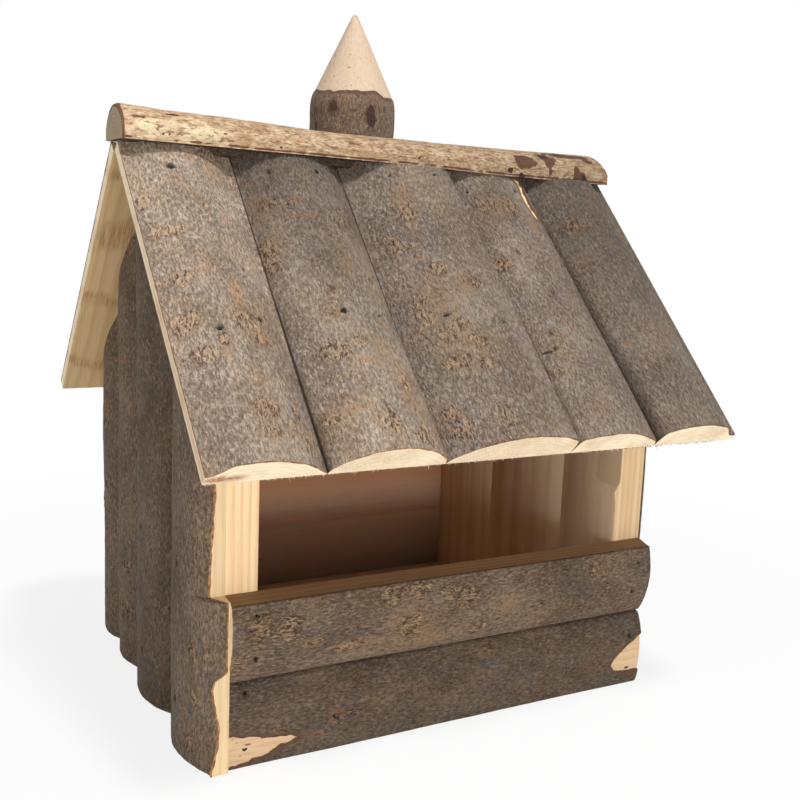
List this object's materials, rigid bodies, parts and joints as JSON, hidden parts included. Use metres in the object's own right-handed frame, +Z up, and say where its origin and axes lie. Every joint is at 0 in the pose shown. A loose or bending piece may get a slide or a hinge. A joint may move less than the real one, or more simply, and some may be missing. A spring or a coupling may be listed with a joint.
{
  "type": "birdhouse feeder",
  "caption": "Rustic birdhouse feeder with an open front, walls and steep gable roof clad in half-log slabs with bark, a half-round ridge cap and a pointed log chimney.",
  "frame": {"origin": "on the ground under the ridge, midway between the side walls, on the floor board's underside", "axes": "+Z up, -Y out of the open front, +X along the ridge to the right as seen from the front"},
  "size_m": [0.2556, 0.2436, 0.32],
  "materials": {
    "sawn_pine": "sawn pale softwood, unfinished",
    "bark_slab": "rough grey-brown bark with pale sawn ends",
    "peeled_branch": "peeled branch with flakes of bark left",
    "sharpened_log": "bark below a bare cut point",
    "steel": "dull zinc-plated wire"
  },
  "bodies": {
    "root": {"left_wall_front_board": "sawn_pine", "left_wall_middle_board": "sawn_pine", "left_wall_rear_board": "sawn_pine", "right_wall_front_board": "sawn_pine", "right_wall_middle_board": "sawn_pine", "right_wall_rear_board": "sawn_pine", "back_board_lower": "sawn_pine", "back_board_middle": "sawn_pine", "back_board_upper": "sawn_pine", "floor_board": "sawn_pine", "ridge_beam": "sawn_pine", "front_purlin": "sawn_pine", "rear_purlin": "sawn_pine", "left_slab_1": "bark_slab", "left_slab_2": "bark_slab", "left_slab_3": "bark_slab", "left_slab_4": "bark_slab", "right_slab_1": "bark_slab", "right_slab_2": "bark_slab", "right_slab_3": "bark_slab", "right_slab_4": "bark_slab", "front_slab_lower": "bark_slab", "front_slab_upper": "bark_slab", "roof_front_slab_1": "bark_slab", "roof_front_slab_2": "bark_slab", "roof_front_slab_3": "bark_slab", "roof_front_slab_4": "bark_slab", "roof_front_slab_5": "bark_slab", "roof_rear_slab_1": "bark_slab", "roof_rear_slab_2": "bark_slab", "roof_rear_slab_3": "bark_slab", "roof_rear_slab_4": "bark_slab", "roof_rear_slab_5": "bark_slab", "ridge_cap": "peeled_branch", "chimney_log": "sharpened_log", "roof_front_brads": "steel", "roof_rear_brads": "steel", "left_slab_brads": "steel", "right_slab_brads": "steel", "front_slab_brads": "steel", "back_board_nails": "steel", "floor_nails": "steel", "beam_nails": "steel", "ridge_cap_nails": "steel", "chimney_screw": "steel"}
  },
  "joints": []
}
